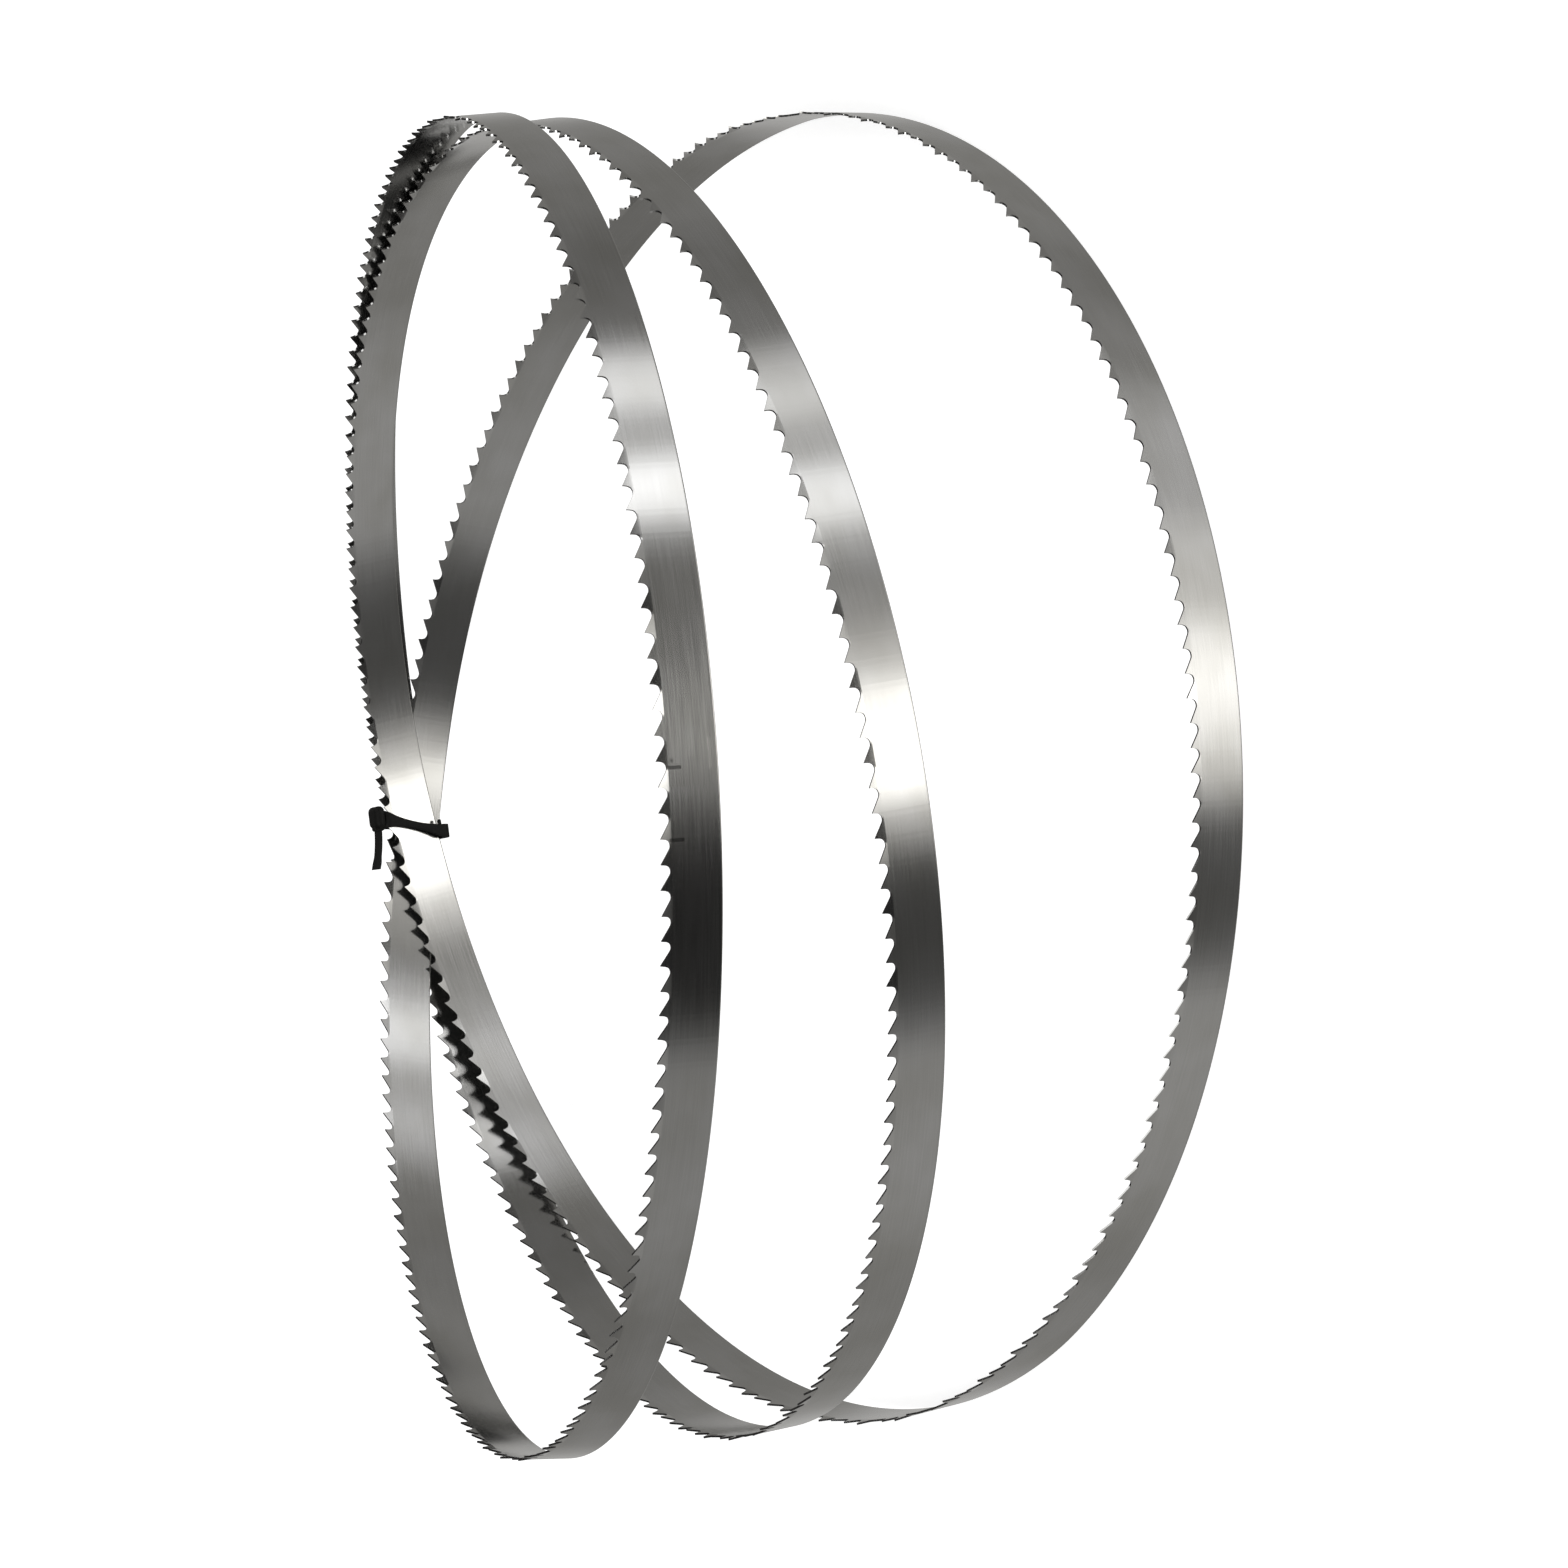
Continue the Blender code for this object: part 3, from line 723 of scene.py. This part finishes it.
def add_flags():
    """The dark cards on the floor."""
    material, shader, _ = new_material("dark_card")
    shader.inputs["Base Color"].default_value = (0.004, 0.004, 0.004, 1.0)
    shader.inputs["Roughness"].default_value = 0.95
    shader.inputs["Specular IOR Level"].default_value = 0.0
    for number, corners in enumerate(FLAGS):
        mesh = bpy.data.meshes.new("flag_%d" % number)
        spots = [(x, y, FLAG_HEIGHT) for x, y in corners]
        mesh.from_pydata(spots, [], [tuple(range(len(spots)))])
        mesh.materials.append(material)
        flag = bpy.data.objects.new("flag_%d" % number, mesh)
        bpy.context.scene.collection.objects.link(flag)
        flag.visible_camera = False
        flag.visible_shadow = False
        flag.visible_diffuse = False


class WorldNodes(NodeKit):
    """The same helper for the world's light, which is built out of directions."""

    def __init__(self, tree):
        super().__init__(tree)
        place = self.nodes.new("ShaderNodeTexCoord")
        parts = self.nodes.new("ShaderNodeSeparateXYZ")
        self.links.new(place.outputs["Generated"], parts.inputs["Vector"])
        flat = self.nodes.new("ShaderNodeCombineXYZ")
        self.links.new(parts.outputs["X"], flat.inputs["X"])
        self.links.new(parts.outputs["Y"], flat.inputs["Y"])
        level = self.nodes.new("ShaderNodeVectorMath")
        level.operation = "NORMALIZE"
        self.links.new(flat.outputs["Vector"], level.inputs[0])
        self.level = level.outputs["Vector"]
        self.height = parts.outputs["Z"]

    def patch(self, azimuth, half, soft, lowest, highest):
        """1 inside a patch of directions, 0 outside it."""
        facing = self.nodes.new("ShaderNodeVectorMath")
        facing.operation = "DOT_PRODUCT"
        facing.inputs[1].default_value = (cos(radians(azimuth)), sin(radians(azimuth)), 0.0)
        self.links.new(self.level, facing.inputs[0])
        outer, inner = cos(radians(half + soft)), cos(radians(max(half - soft, 0.0)))
        inside = self.ramp(facing.outputs["Value"], outer, inner, 0.0, 1.0)
        for edge, below, above in ((lowest, 0.0, 1.0), (highest, 1.0, 0.0)):
            low, high = sin(radians(edge - PANEL_EDGE)), sin(radians(edge + PANEL_EDGE))
            level = self.ramp(self.height, low, high, below, above)
            inside = self.combine("MULTIPLY", inside, level)
        return inside

    def panel(self, *row):
        """Light of one panel."""
        *patch, strength = row
        return self.combine("MULTIPLY", self.patch(*patch), strength)

    def with_panels(self, light, rows):
        """A light, and the light of the panels added to it."""
        for row in rows:
            light = self.combine("ADD", light, self.panel(*row))
        return light

    def tinted(self, value, colour):
        """A plain colour times a value."""
        node = self.nodes.new("ShaderNodeVectorMath")
        node.operation = "SCALE"
        node.inputs[0].default_value = colour
        self.links.new(value, node.inputs["Scale"])
        return node.outputs["Vector"]

    def added(self, first, second):
        """The sum of two colours."""
        node = self.nodes.new("ShaderNodeVectorMath")
        node.operation = "ADD"
        self.links.new(first, node.inputs[0])
        self.links.new(second, node.inputs[1])
        return node.outputs["Vector"]

    def mixed(self, share, first, second):
        """The first shader, or the second where the share is 1."""
        node = self.nodes.new("ShaderNodeMixShader")
        self.links.new(share, node.inputs["Fac"])
        self.links.new(first, node.inputs[1])
        self.links.new(second, node.inputs[2])
        return node.outputs["Shader"]


def add_world():
    """White for the camera and through glass, the studio's panels in the steel, and else plain."""
    world = bpy.data.worlds.new("studio")
    bpy.context.scene.world = world
    world.use_nodes = True
    world.node_tree.nodes.clear()
    kit = WorldNodes(world.node_tree)
    nodes, links = kit.nodes, kit.links
    low, high, dimmest = ROOM_FADE
    fade = kit.ramp(kit.height, sin(radians(low)), sin(radians(high)), 1.0, dimmest)
    warm = kit.with_panels(kit.combine("MULTIPLY", fade, ROOM), KEY_PANELS)
    plain = kit.with_panels(kit.panel(*SIDE_PANELS[0]), SIDE_PANELS[1:])
    for *patch, share in CARDS:
        shade = kit.combine("ADD", kit.combine("MULTIPLY", kit.patch(*patch), -share), 1.0)
        warm = kit.combine("MULTIPLY", warm, shade)
        plain = kit.combine("MULTIPLY", plain, shade)

    diffuse = nodes.new("ShaderNodeBackground")
    diffuse.inputs["Strength"].default_value = DIFFUSE_LIGHT
    seen = nodes.new("ShaderNodeBackground")
    links.new(kit.added(kit.tinted(warm, WARM), kit.tinted(plain, PLAIN)), seen.inputs["Color"])
    white = nodes.new("ShaderNodeBackground")
    white.inputs["Color"].default_value = (1.0, 1.0, 1.0, 1.0)
    glossy = nodes.new("ShaderNodeLightPath").outputs["Is Glossy Ray"]
    lit = kit.mixed(glossy, diffuse.outputs["Background"], seen.outputs["Background"])
    output = nodes.new("ShaderNodeOutputWorld")
    links.new(kit.mixed(kit.background(), lit, white.outputs["Background"]), output.inputs["Surface"])


def add_lamp(name, size, power, spot):
    data = bpy.data.lights.new(name, "AREA")
    data.shape = "SQUARE"
    data.size = size
    data.energy = power
    lamp = bpy.data.objects.new(name, data)
    lamp.location = spot
    lamp.rotation_mode = "QUATERNION"
    lamp.rotation_quaternion = (Vector(LAMP_TARGET) - Vector(spot)).to_track_quat("-Z", "Y")
    bpy.context.scene.collection.objects.link(lamp)


def add_camera():
    data = bpy.data.cameras.new("camera")
    data.sensor_width = SENSOR
    data.lens = FOCAL_LENGTH * SENSOR / PHOTO_SIZE
    data.clip_start, data.clip_end = CAMERA_CLIP
    turn = Matrix.Identity(3)
    for axis, angle in CAMERA_TURNS:
        turn = turn @ Matrix.Rotation(radians(angle), 3, axis)
    right, up, back = turn @ Vector((0, 0, -1)), turn @ Vector((0, 1, 0)), turn @ Vector((1, 0, 0))
    facing = Matrix((right, up, back)).transposed().to_4x4()
    camera = bpy.data.objects.new("camera", data)
    camera.matrix_world = Matrix.Translation(CAMERA_PLACE) @ facing
    bpy.context.scene.collection.objects.link(camera)
    bpy.context.scene.camera = camera


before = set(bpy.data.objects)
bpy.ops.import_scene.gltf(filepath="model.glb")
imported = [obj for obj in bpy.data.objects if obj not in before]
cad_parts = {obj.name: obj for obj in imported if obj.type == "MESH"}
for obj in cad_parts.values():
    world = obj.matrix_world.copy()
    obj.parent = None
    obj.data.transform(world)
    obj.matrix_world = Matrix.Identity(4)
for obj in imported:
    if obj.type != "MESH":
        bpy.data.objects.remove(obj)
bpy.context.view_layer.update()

band = FoldedBand()
blade = build_blade(band, steel_material(band.length))
finish_piece(blade, "blade")
tie = build_tie(Bundle(band), strap_material())
finish_piece(tie, "tie")

add_floor()
add_flags()
add_world()
for lamp in LAMPS:
    add_lamp(*lamp)
add_camera()
bpy.context.scene.view_settings.view_transform = "Standard"
